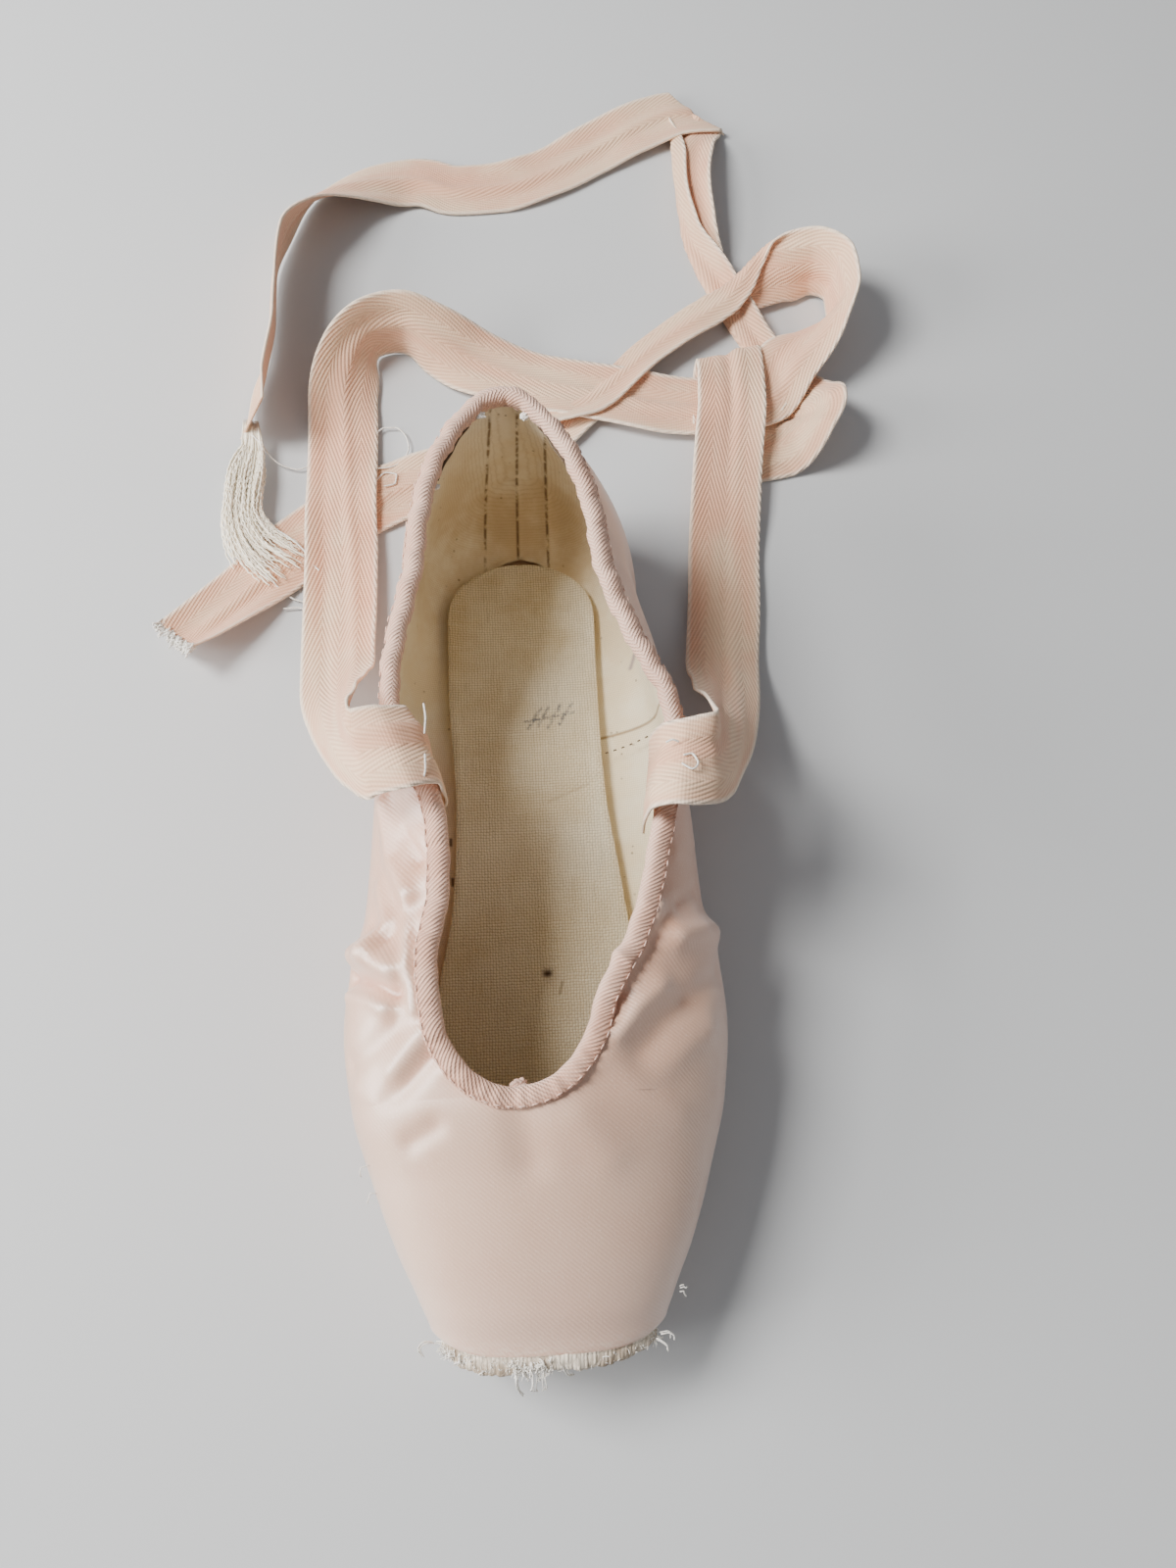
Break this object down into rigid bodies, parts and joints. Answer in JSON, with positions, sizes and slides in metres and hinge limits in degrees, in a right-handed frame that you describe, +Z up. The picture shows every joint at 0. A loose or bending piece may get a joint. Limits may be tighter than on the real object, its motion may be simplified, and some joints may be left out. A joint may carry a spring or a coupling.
{
  "type": "pointe shoe",
  "caption": "Satin pointe shoe with a stiffened box and flat platform, bound collar, leather outsole, canvas insole and two long twill ribbons lying loose behind it.",
  "frame": {"origin": "on the floor under the middle of the shoe's length and width, without the ribbons", "axes": "+Y from the toe platform to the heel, +Z up, +X to the shoe's side that is on the right when it is seen from behind"},
  "size_m": [0.2207, 0.4131, 0.0632],
  "materials": {
    "satin": "worn peach-pink satin over canvas, soft wrinkles, glossy along the warp",
    "sole_leather": "buffed tan leather, scuffed, matt",
    "insole_canvas": "natural linen plain weave over board, slightly soiled",
    "binding_tape": "pink cotton herringbone tape, matt",
    "drawstring": "pale cotton cord, frayed",
    "ribbon_twill": "cream-peach cotton herringbone tape, creased",
    "frayed_cotton": "loose cream cotton threads"
  },
  "bodies": {
    "root": {"upper": "satin", "outsole": "sole_leather", "insole": "insole_canvas", "collar_binding": "binding_tape", "drawstring_knot": "drawstring", "ribbon_left": "ribbon_twill", "ribbon_right": "ribbon_twill", "ribbon_right_fray": "frayed_cotton"}
  },
  "joints": []
}
